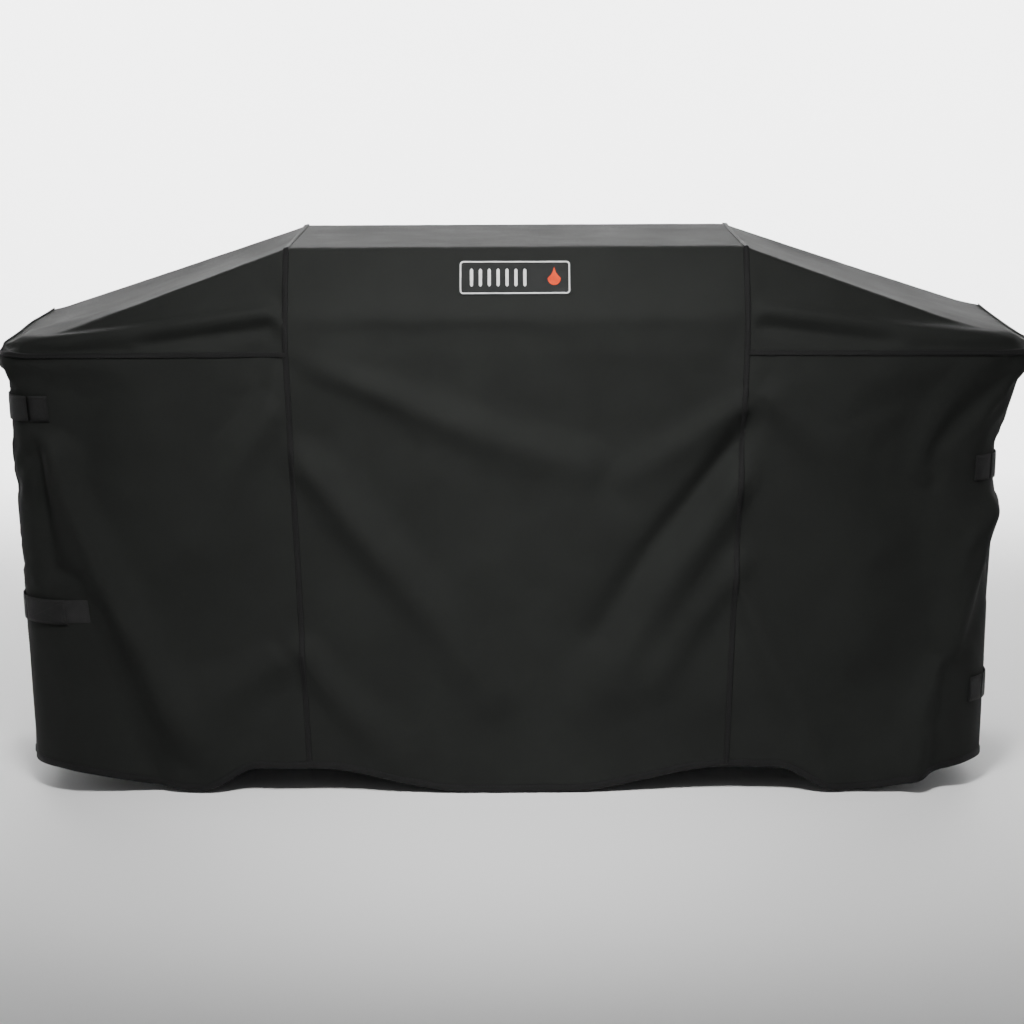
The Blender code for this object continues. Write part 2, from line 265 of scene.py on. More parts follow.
def over_stations():
    front = steps(0.0, 1.0, OVER_FRONT)
    return front + steps(1.0, 2.0, OVER_TOP)[1:] + steps(2.0, 3.0, OVER_BACK)[1:]


def centre_grid():
    grid = []
    for back in (1, -1):
        leg = []
        for t in steps(0.0, 1.0, UP_SKIRT):
            row = []
            for u in steps(-1.0, 1.0, ACROSS_HOOD):
                foot = hem_z(u * HOOD_HEM_HALF_WIDTH)
                z = lerp(foot, SEAM_Z, t)
                row.append(Vector((u * centre_half_width(z), -back * half_depth(z), z)))
            leg.append(row)
        grid.append(leg)
    over = []
    for v in over_stations():
        y, z = hood_profile(v)
        over.append([Vector((u * HOOD_HALF_WIDTH, y, z)) for u in steps(-1.0, 1.0, ACROSS_HOOD)])
    return grid[0] + over[1:-1] + grid[1][::-1]


def shoulder_grid(side):
    columns = steps(0.0, 1.0, ACROSS_TABLE) + steps(1.0, 2.0, ROUND_CORNER)[1:]
    return [[shoulder_point(u, v, side) for u in columns] for v in over_stations()]


def end_grid(side):
    grid = []
    for t in steps(0.0, 1.0, UP_SKIRT):
        row = []
        for v in over_stations():
            share, top = end_profile(v)
            foot = HEM_END_Z + HEM_SINK
            z = lerp(foot, top, t)
            low = skirt_point(2.0, lerp(foot, SEAM_Z, t), side, 1)
            reach = -low.y
            row.append(Vector((side * half_width(z, side), share * reach, z)))
        grid.append(row)
    return grid


def patches():
    made = {"centre_cloth": centre_grid()}
    for side, hand in SIDES:
        made[f"{hand}_shoulder_cloth"] = shoulder_grid(side)
        made[f"{hand}_end_cloth"] = end_grid(side)
        made[f"{hand}_front_cloth"] = skirt_grid(side, 1)
        made[f"{hand}_back_cloth"] = skirt_grid(side, -1)
    return made


# Folds: points (x, z) on the front or the back, width and height. A negative height is a valley.
FRONT_FOLDS = (
    (((-0.40, 0.66), (-0.25, 0.47), (-0.14, 0.34), (-0.05, 0.20)), 0.036, 0.018),
    (((-0.40, 0.83), (-0.17, 0.72), (-0.02, 0.66), (0.12, 0.62)), 0.030, 0.013),
    (((-0.40, 0.30), (-0.30, 0.17), (-0.22, 0.08)), 0.030, 0.014),
    (((0.41, 0.74), (0.31, 0.67), (0.20, 0.60)), 0.024, 0.013),
    (((0.41, 0.69), (0.23, 0.45), (0.15, 0.31)), 0.022, -0.014),
    (((0.41, 0.62), (0.27, 0.40), (0.17, 0.22)), 0.038, 0.018),
    (((0.41, 0.46), (0.31, 0.33), (0.25, 0.22)), 0.026, 0.012),
    (((-0.83, 0.70), (-0.80, 0.58), (-0.71, 0.36), (-0.60, 0.12)), 0.030, 0.020),
    (((-0.845, 0.69), (-0.835, 0.52), (-0.825, 0.42)), 0.014, -0.014),
    (((-0.41, 0.28), (-0.52, 0.20), (-0.62, 0.17)), 0.040, 0.012),
    (((-0.41, 0.74), (-0.50, 0.62), (-0.56, 0.48)), 0.034, 0.010),
    (((0.38, 0.44), (0.45, 0.28), (0.51, 0.15), (0.55, 0.04)), 0.030, 0.016),
    (((0.85, 0.60), (0.82, 0.44), (0.77, 0.26), (0.73, 0.12), (0.72, 0.04)), 0.019, 0.020),
    (((0.83, 0.50), (0.78, 0.30), (0.74, 0.14)), 0.014, -0.012),
    (((0.42, 0.76), (0.55, 0.64), (0.64, 0.48)), 0.036, 0.012),
)
BACK_FOLDS = (
    (((-0.40, 0.70), (-0.26, 0.50), (-0.16, 0.30)), 0.038, 0.011),
    (((0.40, 0.66), (0.24, 0.44), (0.16, 0.24)), 0.036, 0.012),
    (((0.10, 0.80), (0.04, 0.55), (0.06, 0.30)), 0.044, 0.008),
    (((-0.82, 0.66), (-0.74, 0.42), (-0.66, 0.14)), 0.032, 0.012),
    (((0.82, 0.68), (0.76, 0.46), (0.70, 0.16)), 0.030, 0.012),
    (((0.42, 0.40), (0.52, 0.24), (0.56, 0.10)), 0.034, 0.009),
    (((-0.42, 0.52), (-0.52, 0.34), (-0.56, 0.16)), 0.034, 0.009),
)
# Folds on the shoulders' front slopes, the same on both sides
SHOULDER_FOLDS = (
    (((0.40, 0.892), (0.52, 0.876), (0.70, 0.852), (0.86, 0.836)), 0.013, 0.012),
    (((0.40, 0.866), (0.50, 0.856), (0.64, 0.842)), 0.012, -0.009),
)
# Folds on the ends: points (y, z)
END_FOLDS = (
    (((-0.22, 0.62), (-0.14, 0.40), (-0.10, 0.14)), 0.034, 0.011),
    (((0.16, 0.70), (0.06, 0.46), (0.04, 0.20)), 0.038, 0.010),
)


def ramp(t):
    """smooth() for arrays."""
    t = np.clip(t, 0.0, 1.0)
    return t * t * (3 - 2 * t)


def fold_height(folds, a, z):
    """How far points at (a, z) on a face stand proud, from all that face's folds."""
    total = np.zeros(len(a))
    for points, width, height in folds:
        best, along = np.full(len(a), 9.0), np.zeros(len(a))
        count = len(points) - 1
        for i in range(count):
            (a0, z0), (a1, z1) = points[i], points[i + 1]
            da, dz = a1 - a0, z1 - z0
            t = np.clip(((a - a0) * da + (z - z0) * dz) / (da * da + dz * dz), 0.0, 1.0)
            gap = np.hypot(a - a0 - t * da, z - z0 - t * dz)
            nearer = gap < best
            best = np.where(nearer, gap, best)
            along = np.where(nearer, (i + t) / count, along)
        spread = width * (0.8 + 0.7 * along)
        total += height * (1 - 0.35 * along) * ramp(6 * along + 0.3) * np.exp(-((best / spread) ** 2))
    return total


def mesh_array(mesh, what, source=None):
    values = np.zeros(len(mesh.vertices) * 3)
    (source or mesh.vertices).foreach_get(what, values)
    return values.reshape(-1, 3)


def add_folds(mesh):
    """Pushes the cloth out along its folds, and leaves the top and the table edges alone."""
    points = mesh_array(mesh, "co")
    normals = mesh_array(mesh, "vector", mesh.vertex_normals)
    x, y, z = points.T
    on_front = ramp((-y - 0.15) / 0.06)
    on_back = ramp((y - 0.15) / 0.06)
    on_end = ramp((np.abs(x) - 0.80) / 0.03) * (1 - on_front) * (1 - on_back)
    push = on_front * fold_height(FRONT_FOLDS, x, z)
    push += on_back * fold_height(BACK_FOLDS, x, z)
    push += on_end * fold_height(END_FOLDS, y, z)
    push *= ramp((SEAM_Z + 0.02 - z) / 0.09) * (1 - strap_grip(points, 0.030, 0.060))
    on_shoulder = on_front * ramp((np.abs(x) - 0.40) / 0.03) * ramp((z - 0.822) / 0.012)
    push += on_shoulder * fold_height(SHOULDER_FOLDS, np.abs(x), z)
    push += CORNER_PUFF * ramp((np.abs(x) - 0.845) / 0.04) * np.exp(-((z - 0.803) / 0.021) ** 2)
    points += normals * push[:, None] * FOLD_DEPTH
    mesh.vertices.foreach_set("co", points.ravel())
    mesh.update()


# One welded cloth, its simulation, and the panels cut from it


def weld(grids):
    """One mesh from all patches, each face knowing its patch. UVs are in metres along the weave."""
    cloth = bmesh.new()
    layer = cloth.loops.layers.uv.new("weave")
    for slot, grid in enumerate(grids.values()):
        rows = np.array([[tuple(p) for p in row] for row in grid])
        middle = rows.shape[1] // 2
        across = np.linalg.norm(np.diff(rows, axis=1), axis=2).mean(axis=0)
        up = np.linalg.norm(np.diff(rows[:, middle], axis=0), axis=1)
        u = np.concatenate(([0.0], np.cumsum(across)))
        v = np.concatenate(([0.0], np.cumsum(up)))
        verts = [[cloth.verts.new(p) for p in row] for row in rows]
        for r in range(len(verts) - 1):
            for c in range(len(verts[0]) - 1):
                corners = ((r, c), (r, c + 1), (r + 1, c + 1), (r + 1, c))
                face = cloth.faces.new([verts[a][b] for a, b in corners])
                face.material_index = slot
                face.smooth = True
                for loop, (a, b) in zip(face.loops, corners):
                    loop[layer].uv = (u[b] + slot * 2.0, v[a])
    bmesh.ops.remove_doubles(cloth, verts=cloth.verts, dist=2e-4)
    bmesh.ops.recalc_face_normals(cloth, faces=cloth.faces)
    mesh = bpy.data.meshes.new("welded_cloth")
    cloth.to_mesh(mesh)
    cloth.free()
    return mesh


def prism(name, profile, low_x, high_x):
    """A solid with that (y, z) outline between two x values."""
    solid = bmesh.new()
    ends = [[solid.verts.new((x, y, z)) for y, z in profile] for x in (low_x, high_x)]
    faces = [ends[0], ends[1][::-1]]
    for i in range(len(profile)):
        j = (i + 1) % len(profile)
        faces.append([ends[0][j], ends[0][i], ends[1][i], ends[1][j]])
    for corners in faces:
        solid.faces.new(corners)
    bmesh.ops.recalc_face_normals(solid, faces=solid.faces)
    mesh = bpy.data.meshes.new(name)
    solid.to_mesh(mesh)
    solid.free()
    made = bpy.data.objects.new(name, mesh)
    bpy.context.scene.collection.objects.link(made)
    return made


def grill_stand_ins():
    """What the cover is draped over: a lid with its handle, two side shelves and a cart."""
    lid = ((-0.22, 0.79), (-0.295, 0.842), (-0.320, 0.862), (-0.321, 0.884), (-0.262, 0.988),
           (0.182, 0.988), (0.288, 0.900), (0.286, 0.860), (0.22, 0.79))
    shelf = ((-0.306, 0.775), (-0.314, 0.790), (-0.313, 0.805), (-0.300, 0.816),
             (0.300, 0.816), (0.313, 0.805), (0.314, 0.790), (0.306, 0.775))
    cart = ((-0.20, 0.02), (-0.20, 0.76), (0.20, 0.76), (0.20, 0.02))
    return [
        prism("lid_stand_in", lid, -0.388, 0.388),
        prism("left_shelf_stand_in", shelf, -0.884, -0.42),
        prism("right_shelf_stand_in", shelf, 0.42, 0.884),
        prism("cart_stand_in", cart, -0.60, 0.60),
    ]


def strap_grip(points, half, fade):
    """How firmly the straps hold the cloth: 1 within half of a strap's middle, 0 past the fade."""
    grip = np.zeros(len(points))
    x, y, z = points.T
    for side, _, height, _, _ in STRAPS:
        reached = (side * x > GRIP_FROM_X) & (y < GRIP_TO_Y)
        near = 1 - ramp((np.abs(z - height) - half) / fade)
        grip = np.maximum(grip, np.where(reached, near, 0.0))
    return grip


def drape(mesh):
    """Lets the cloth settle over the grill under its own weight, and returns its new points."""
    solids = grill_stand_ins()
    for solid in solids:
        solid.modifiers.new("hit", "COLLISION")
        solid.collision.thickness_outer = 0.004
        solid.collision.cloth_friction = 20
    cloth = bpy.data.objects.new("draped_cloth", mesh)
    bpy.context.scene.collection.objects.link(cloth)
    pins = cloth.vertex_groups.new(name="pins")
    for index, grip in enumerate(strap_grip(mesh_array(mesh, "co"), 0.028, 0.020)):
        if grip > 0:
            pins.add([index], float(grip), "REPLACE")
    sim = cloth.modifiers.new("cloth", "CLOTH")
    sim.settings.quality = SIM_QUALITY
    sim.settings.mass = 0.0012
    sim.settings.tension_stiffness = 30
    sim.settings.compression_stiffness = 30
    sim.settings.shear_stiffness = 12
    sim.settings.bending_stiffness = 2.0
    sim.settings.air_damping = 2
    sim.settings.vertex_group_mass = "pins"
    sim.settings.shrink_min = -SLACK
    sim.collision_settings.distance_min = 0.004
    sim.collision_settings.use_self_collision = False
    scene = bpy.context.scene
    sim.point_cache.frame_start = 1
    sim.point_cache.frame_end = SIM_FRAMES
    for number in range(1, SIM_FRAMES + 1):
        scene.frame_set(number)
    settled = cloth.evaluated_get(bpy.context.evaluated_depsgraph_get())
    points = np.zeros(len(mesh.vertices) * 3)
    settled.data.vertices.foreach_get("co", points)
    bpy.data.objects.remove(cloth)
    for solid in solids:
        bpy.data.objects.remove(solid)
    scene.frame_set(1)
    return points.reshape(-1, 3)


def cut_panel(welded, slot, name):
    """One panel of the welded cloth as its own mesh, made finer and given the cloth's thickness."""
    panel = bmesh.new()
    panel.from_mesh(welded)
    gone = [f for f in panel.faces if f.material_index != slot]
    bmesh.ops.delete(panel, geom=gone, context="FACES")
    for face in panel.faces:
        face.material_index = 0
    mesh = bpy.data.meshes.new(name)
    panel.to_mesh(mesh)
    panel.free()
    made = bpy.data.objects.new(name, mesh)
    bpy.context.scene.collection.objects.link(made)
    finer = made.modifiers.new("finer", "SUBSURF")
    finer.levels = finer.render_levels = 1
    thick = made.modifiers.new("thickness", "SOLIDIFY")
    thick.thickness = CLOTH_THICKNESS
    thick.offset = -1.0
    return made


# Pieces that follow the draped cloth


def link_mesh(name, points, faces, material, smooth_faces=True):
    mesh = bpy.data.meshes.new(name)
    mesh.from_pydata([tuple(p) for p in points], [], faces)
    mesh.polygons.foreach_set("use_smooth", [smooth_faces] * len(mesh.polygons))
    mesh.materials.append(material)
    made = bpy.data.objects.new(name, mesh)
    bpy.context.scene.collection.objects.link(made)
    return made


class Path:
    """A line of cloth points with their tangents, outward normals and sideways directions."""

    def __init__(self, points, normals, closed=False):
        self.points, self.closed = points, closed
        if closed:
            ahead, behind = np.roll(points, -1, axis=0), np.roll(points, 1, axis=0)
        else:
            ahead = np.vstack((points[1:], points[-1:]))
            behind = np.vstack((points[:1], points[:-1]))
        tangents = ahead - behind
        self.tangents = tangents / np.linalg.norm(tangents, axis=1)[:, None]
        self.sides = np.cross(self.tangents, normals)
        self.sides /= np.linalg.norm(self.sides, axis=1)[:, None]
        self.normals = np.cross(self.sides, self.tangents)

    def sample(self, spacing):
        """Evenly spaced (point, tangent, normal, side) rows along the path."""
        ends = np.vstack((self.points, self.points[:1])) if self.closed else self.points
        lengths = np.concatenate(([0.0], np.cumsum(np.linalg.norm(np.diff(ends, axis=0), axis=1))))
        at = np.arange(spacing / 2, lengths[-1], spacing)
        rows = []
        for values in (self.points, self.tangents, self.normals, self.sides):
            values = np.vstack((values, values[:1])) if self.closed else values
            rows.append(np.stack([np.interp(at, lengths, values[:, i]) for i in range(3)], axis=1))
        return rows


def ribbon(name, path, section, material):
    """A closed band along the path. section is its outline as (sideways, outwards) pairs."""
    count, ring = len(path.points), len(section)
    points = np.concatenate([
        path.points + path.sides * across + path.normals * out for across, out in section
    ]).reshape(ring, count, 3).transpose(1, 0, 2).reshape(-1, 3)
    faces = []
    spans = count if path.closed else count - 1
    for i in range(spans):
        j = (i + 1) % count
        for k in range(ring):
            m = (k + 1) % ring
            faces.append((i * ring + k, i * ring + m, j * ring + m, j * ring + k))
    if not path.closed:
        faces.append(tuple(range(ring))[::-1])
        faces.append(tuple((count - 1) * ring + k for k in range(ring)))
    made = link_mesh(name, points, faces, material)
    tidy_normals(made.data)
    return made


def tidy_normals(mesh):
    work = bmesh.new()
    work.from_mesh(mesh)
    bmesh.ops.recalc_face_normals(work, faces=work.faces)
    work.to_mesh(mesh)
    work.free()


STITCH_FACES = ((0, 1, 2), (0, 2, 3), (0, 3, 4), (0, 4, 1), (5, 2, 1), (5, 3, 2), (5, 4, 3), (5, 1, 4))


def stitch_line(path, offset, lift, spacing=0.0060, length=0.0042):
    """Points and faces of a row of stitches, each a spindle lying on the cloth."""
    points, tangents, normals, sides = path.sample(spacing)
    middle = points + sides * offset + normals * lift
    half = tangents * length / 2
    parts = (middle - half, middle + normals * 0.00035, middle + sides * 0.00045,
             middle - normals * 0.0006, middle - sides * 0.00045, middle + half)
    stacked = np.stack(parts, axis=1).reshape(-1, 3)
    faces = [tuple(6 * i + k for k in face) for i in range(len(points)) for face in STITCH_FACES]
    return stacked, faces


def stitching(name, lines, material):
    """Several rows of stitches as one piece."""
    points, faces, start = [], [], 0
    for stacked, found in lines:
        points.append(stacked)
        faces += [tuple(start + k for k in face) for face in found]
        start += len(stacked)
    made = link_mesh(name, np.concatenate(points), faces, material)
    tidy_normals(made.data)
    return made


class Draped:
    """The draped cloth's points and normals, found by where they were laid out."""

    def __init__(self, laid_points):
        self.tree = KDTree(len(laid_points))
        for index, point in enumerate(laid_points):
            self.tree.insert(point, index)
        self.tree.balance()

    def settle(self, mesh):
        self.points = mesh_array(mesh, "co")
        self.normals = mesh_array(mesh, "vector", mesh.vertex_normals)

    def indices(self, laid):
        found = [self.tree.find(p)[1] for p in laid]
        return [n for i, n in enumerate(found) if i == 0 or n != found[i - 1]]

    def path(self, laid, closed=False, drop=0):
        found = self.indices(laid)
        if closed and found[0] == found[-1]:
            found = found[:-1]
        if drop:
            found = found[drop:-drop]
        return Path(self.points[found], self.normals[found], closed)


def column(grid, number):
    return [row[number] for row in grid]


def seam_paths(grids, draped):
    """Each seam's path, under the name of the CAD seam that it stands for."""
    paths = {}
    for side, hand in SIDES:
        paths[f"{hand}_centre_seam"] = draped.path(column(grids["centre_cloth"], -1 if side > 0 else 0))
        end = grids[f"{hand}_end_cloth"]
        paths[f"{hand}_end_seam"] = draped.path(column(end, 0) + end[-1] + column(end, -1)[::-1])
        for face in ("front", "back"):
            top = grids[f"{hand}_{face}_cloth"][-1]
            paths[f"{hand}_{face}_shoulder_seam"] = draped.path(top)
    return paths


def hem_loop(grids, row=0):
    """The laid out points round the hem, or round the row that many cells above it."""
    centre = grids["centre_cloth"]
    parts = [centre[row]]
    parts.append(grids["right_front_cloth"][row])
    parts.append(grids["right_end_cloth"][row])
    parts.append(grids["right_back_cloth"][row][::-1])
    parts.append(centre[-1 - row][::-1])
    parts.append(grids["left_back_cloth"][row])
    parts.append(grids["left_end_cloth"][row][::-1])
    parts.append(grids["left_front_cloth"][row][::-1])
    return [point for part in parts for point in part]


FELLED_SEAM = ((-0.0052, -0.0006), (-0.0050, 0.0007), (-0.0036, 0.0013), (-0.0010, 0.0012),
               (0.0004, 0.0017), (0.0034, 0.0016), (0.0050, 0.0008), (0.0052, -0.0006))


def add_seams(grids, draped, binding, thread):
    for name, path in seam_paths(grids, draped).items():
        seam = ribbon(f"{name}_fell", path, FELLED_SEAM, binding)
        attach(seam, "root")
        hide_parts(name)
        rows = [stitch_line(path, -0.0036, 0.0013), stitch_line(path, 0.0034, 0.0016)]
        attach(stitching(f"{name}_stitches", rows, thread), "root")


def add_hem(grids, draped, binding, thread):
    """A tape folded over the raw edge, with a row of stitches near its upper edge."""
    path = draped.path(hem_loop(grids), closed=True)
    above = draped.points[draped.indices(hem_loop(grids, 2))]
    tree = KDTree(len(above))
    for index, point in enumerate(above):
        tree.insert(point, index)
    tree.balance()
    up = np.array([above[tree.find(p)[1]] for p in path.points]) - path.points
    up -= path.tangents * (up * path.tangents).sum(axis=1)[:, None]
    up /= np.linalg.norm(up, axis=1)[:, None]
    out = np.cross(path.tangents, up)
    facing = np.sign((out * path.normals).sum(axis=1))[:, None]
    path.sides, path.normals = up, out * facing
    section = ((HEM_TAPE, 0.0004), (HEM_TAPE - 0.001, 0.0014), (0.0, 0.0018), (-0.0016, 0.0008),
               (-0.0018, -0.0016), (0.0, -0.0028), (HEM_TAPE - 0.001, -0.0024), (HEM_TAPE, -0.0012))
    tape = ribbon("hem_binding", path, section, binding)
    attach(tape, "root")
    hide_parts("hem_tape")
    row = stitch_line(path, HEM_TAPE - 0.0025, 0.0015)
    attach(stitching("hem_stitches", [row], thread), "root")


# Straps


def rim_faces(columns, rows):
    """The faces that close a plate's edges: its back grid's points follow its front grid's."""
    across, size = columns + 1, (columns + 1) * (rows + 1)
    rim = list(range(across)) + [r * across + columns for r in range(1, rows + 1)]
    rim += [rows * across + c for c in range(columns - 1, -1, -1)]
    rim += [r * across for r in range(rows - 1, 0, -1)]
    ahead = rim[1:] + rim[:1]
    return [(k, m, size + m, size + k) for k, m in zip(rim, ahead)]


def band(name, span, height, width, side, layer, material):
    """A closed strip of webbing with softened edges, riding where its CAD node rides."""
    offset, depth = layer
    columns = max(4, round(abs(span[1] - span[0]) / 0.004))
    rows = 8
    edge = (0.55, 0.85, 1.0, 1.0, 1.0, 1.0, 1.0, 0.85, 0.55)
    points, uvs = [], []
    for outer in (True, False):
        for r, v in enumerate(steps(-width / 2, width / 2, rows)):
            lift = depth / 2 + (depth / 2 if outer else -depth / 2) * edge[r]
            for run in steps(span[0], span[1], columns):
                at, normal = outline(run, height + v, side)
                points.append(at + normal * (offset + lift))
                uvs.append((run, v))
    across, layer_size = columns + 1, (columns + 1) * (rows + 1)
    faces = []
    for r in range(rows):
        for c in range(columns):
            a = r * across + c
            faces.append((a, a + 1, a + across + 1, a + across))
            faces.append(tuple(layer_size + k for k in (a, a + across, a + across + 1, a + 1)))
    faces += rim_faces(columns, rows)
    made = link_mesh(name, points, faces, material)
    tidy_normals(made.data)
    layer = made.data.uv_layers.new(name="weave")
    for loop in made.data.loops:
        layer.data[loop.index].uv = uvs[loop.vertex_index]
    return made


def strap_line(corners, height, side, lift):
    """The path over (run, up) corners on a strap's surface."""
    points, normals = [], []
    for (run0, up0), (run1, up1) in zip(corners, corners[1:]):
        count = max(2, round(math.hypot(run1 - run0, up1 - up0) / 0.003))
        for t in steps(0.0, 1.0, count)[:-1]:
            at, normal = outline(lerp(run0, run1, t), height + lerp(up0, up1, t), side)
            points.append(at + normal * lift)
            normals.append(normal)
    return Path(np.array([tuple(p) for p in points]), np.array([tuple(n) for n in normals]))


def box_stitch(name, low, high, height, side, lift, thread):
    """The square with a cross in it that holds a strap's sewn end."""
    half = WEBBING_WIDTH / 2 - 0.004
    low, high = low + 0.004, high - 0.004
    square = ((low, -half), (high, -half), (high, half), (low, half), (low, -half))
    crosses = (((low, -half), (high, half)), ((low, half), (high, -half)))
    lines = []
    for corners in (square, *crosses):
        path = strap_line(corners, height, side, lift)
        lines.append(stitch_line(path, 0.0, 0.0, 0.0040, 0.0032))
    return stitching(name, lines, thread)


def add_straps(webbing, hook, loop, thread):
    for side, name, height, sewn, way in STRAPS:
        anchor_end = sewn + way * ANCHOR_LENGTH
        root = anchor_end + way * HINGE_GAP
        end = root + way * STRAP_LENGTH
        tip = end + way * HINGE_GAP
        tip_end = tip + way * TIP_LENGTH
        flat = (STRAP_OFFSET, WEBBING)
        rows = (
            ("strap_anchor", (sewn, anchor_end), (TOUCH_GAP, 2 * WEBBING), "root"),
            ("strap", (root - way * 0.0012, end + way * 0.0006), flat, f"{name}_strap_body"),
            ("strap_tip", (tip - way * 0.0006, tip_end), flat, f"{name}_strap_tip_body"),
        )
        for part, span, layer, body in rows:
            piece = band(f"{name}_{part}_webbing", span, height, WEBBING_WIDTH, side, layer, webbing)
            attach(piece, body)
            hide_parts(f"{name}_{part}")
        low, high = sorted((sewn, anchor_end))
        lift = TOUCH_GAP + 2 * WEBBING
        sewn_box = box_stitch(f"{name}_box_stitch", low, high, height, side, lift, thread)
        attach(sewn_box, "root")
        top = STRAP_OFFSET + WEBBING
        low, high = sorted((tip, tip_end))
        hook_box = box_stitch(f"{name}_tip_stitch", low, high, height, side, top, thread)
        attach(hook_box, f"{name}_strap_tip_body")
        for node, finish in ((f"{name}_hook_pad", hook), (f"{name}_loop_pad", loop)):
            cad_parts[node].data.materials.clear()
            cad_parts[node].data.materials.append(finish)


# Label


class LabelPlace:
    """Turns the label's own coordinates (right, up) into points on the draped hood front."""

    def __init__(self, mesh):
        work = bmesh.new()
        work.from_mesh(mesh)
        self.tree = BVHTree.FromBMesh(work)
        work.free()
        top = Vector((0.0, HOOD_FRONT_Y, HOOD_TOP_Z))
        bottom = Vector((0.0, HANDLE_Y, HANDLE_Z))
        self.up = (top - bottom).normalized()
        self.out = Vector((0.0, -self.up.z, self.up.y))
        self.middle = top.lerp(bottom, LABEL_MIDDLE)

    def point(self, a, b, lift):
        start = self.middle + Vector((a, 0.0, 0.0)) + self.up * b + self.out * 0.1
        hit = self.tree.ray_cast(start, -self.out)[0]
        return hit + self.out * lift

    def plate(self, name, low, high, base, thickness, cells, radius, material):
        """A rounded rectangle plate between two corners, standing on the cloth at that base."""
        width, height = high[0] - low[0], high[1] - low[1]
        points = []
        columns, rows = cells
        for lift in (base + thickness, base):
            for v in steps(0.0, 1.0, rows):
                for u in steps(0.0, 1.0, columns):
                    a, b = rounded(u, v, width, height, radius)
                    points.append(self.point(low[0] + a, low[1] + b, lift))
        across, size = columns + 1, (columns + 1) * (rows + 1)
        faces = []
        for r in range(rows):
            for c in range(columns):
                k = r * across + c
                faces.append((k, k + 1, k + across + 1, k + across))
                faces.append(tuple(size + m for m in (k, k + across, k + across + 1, k + 1)))
        faces += rim_faces(columns, rows)
        made = link_mesh(name, points, faces, material, False)
        tidy_normals(made.data)
        return made


def rounded(u, v, width, height, radius):
    """A place in a rectangle, drawn in at the corners so that they are round."""
    a, b = u * width, v * height
    gap_b = min(b, height - b)
    if gap_b < radius:
        pull = radius - math.sqrt(max(0.0, radius * radius - (radius - gap_b) ** 2))
        a = pull + u * (width - 2 * pull)
    return a, b


def add_label(mesh, patch, white, accent):
    """A generic woven label: a border, a row of plain grate bars and a drop-shaped flame."""
    place = LabelPlace(mesh)
    w, h = LABEL_WIDTH / 2, LABEL_HEIGHT / 2
    base = place.plate("label_backing", (-w, -h), (w, h), 0.0003, 0.0007, (40, 14), 0.006, patch)
    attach(base, "root")
    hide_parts("label_patch")
    corners = []
    inner_w, inner_h, radius = w - 0.0035, h - 0.0035, 0.005
    for cx, cy, start in ((1, 1, 0), (-1, 1, 90), (-1, -1, 180), (1, -1, 270)):
        for turn in range(0, 91, 15):
            angle = math.radians(start + turn)
            corners.append((cx * (inner_w - radius) + radius * math.cos(angle),
                            cy * (inner_h - radius) + radius * math.sin(angle)))
    dense = []
    for (a, b), (next_a, next_b) in zip(corners, corners[1:] + corners[:1]):
        count = max(1, round(math.hypot(next_a - a, next_b - b) / 0.004))
        for t in steps(0.0, 1.0, count)[:-1]:
            dense.append(tuple(place.point(lerp(a, next_a, t), lerp(b, next_b, t), 0.0011)))
    normals = np.tile(np.array(tuple(place.out)), (len(dense), 1))
    path = Path(np.array(dense), normals, closed=True)
    section = ((-0.0014, -0.0002), (-0.0012, 0.0004), (0.0012, 0.0004), (0.0014, -0.0002))
    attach(ribbon("label_border", path, section, white), "root")
    for number in range(LABEL_BARS):
        a = -w + 0.020 + number * 0.0155
        bar = place.plate(f"label_bar_{number + 1}", (a, -0.017), (a + 0.0055, 0.017), 0.0009, 0.0006,
                          (4, 12), 0.0026, white)
        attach(bar, "root")
    points, count = [], 36
    for i in range(count):
        angle = 2 * math.pi * i / count
        sharp = max(0.0, math.sin(angle)) ** 6
        a = 0.0115 * math.cos(angle) * (1 - 0.75 * max(0.0, math.sin(angle)))
        b = 0.0125 * math.sin(angle) + 0.008 * sharp - 0.002
        points.append((a + w - 0.030, b))
    top = [place.point(a, b, 0.0016) for a, b in points]
    bottom = [place.point(a, b, 0.0008) for a, b in points]
    faces = [tuple(range(count)), tuple(range(2 * count - 1, count - 1, -1))]
    faces += [(i, (i + 1) % count, count + (i + 1) % count, count + i) for i in range(count)]
    flame = link_mesh("label_flame", top + bottom, faces, accent, False)
    tidy_normals(flame.data)
    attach(flame, "root")


# Materials


def shader_of(name, roughness):
    made = bpy.data.materials.new(name)
    made.use_nodes = True
    nodes, links = made.node_tree.nodes, made.node_tree.links
    shader = nodes["Principled BSDF"]
    shader.inputs["Roughness"].default_value = roughness
    return made, nodes, links, shader


def math_node(nodes, links, operation, *values):
    node = nodes.new("ShaderNodeMath")
    node.operation = operation
    for slot, value in enumerate(values):
        if isinstance(value, (int, float)):
            node.inputs[slot].default_value = value
        else:
            links.new(value, node.inputs[slot])
    return node.outputs[0]


def weave(nodes, links, coordinates, threads_per_metre):
    """Over-and-under height of a plain weave, from 0 to 1."""
    parts = nodes.new("ShaderNodeSeparateXYZ")
    links.new(coordinates, parts.inputs[0])
    turns = threads_per_metre * math.pi
    warp = math_node(nodes, links, "MULTIPLY", parts.outputs[0], turns)
    weft = math_node(nodes, links, "MULTIPLY", parts.outputs[1], turns)
    over = math_node(nodes, links, "ABSOLUTE", math_node(nodes, links, "SINE", warp))
    under = math_node(nodes, links, "ABSOLUTE", math_node(nodes, links, "SINE", weft))
    return math_node(nodes, links, "MULTIPLY", over, under)


def noise(nodes, links, coordinates, scale, detail):
    node = nodes.new("ShaderNodeTexNoise")
    node.inputs["Scale"].default_value = scale
    node.inputs["Detail"].default_value = detail
    links.new(coordinates, node.inputs["Vector"])
    return node.outputs["Fac"]


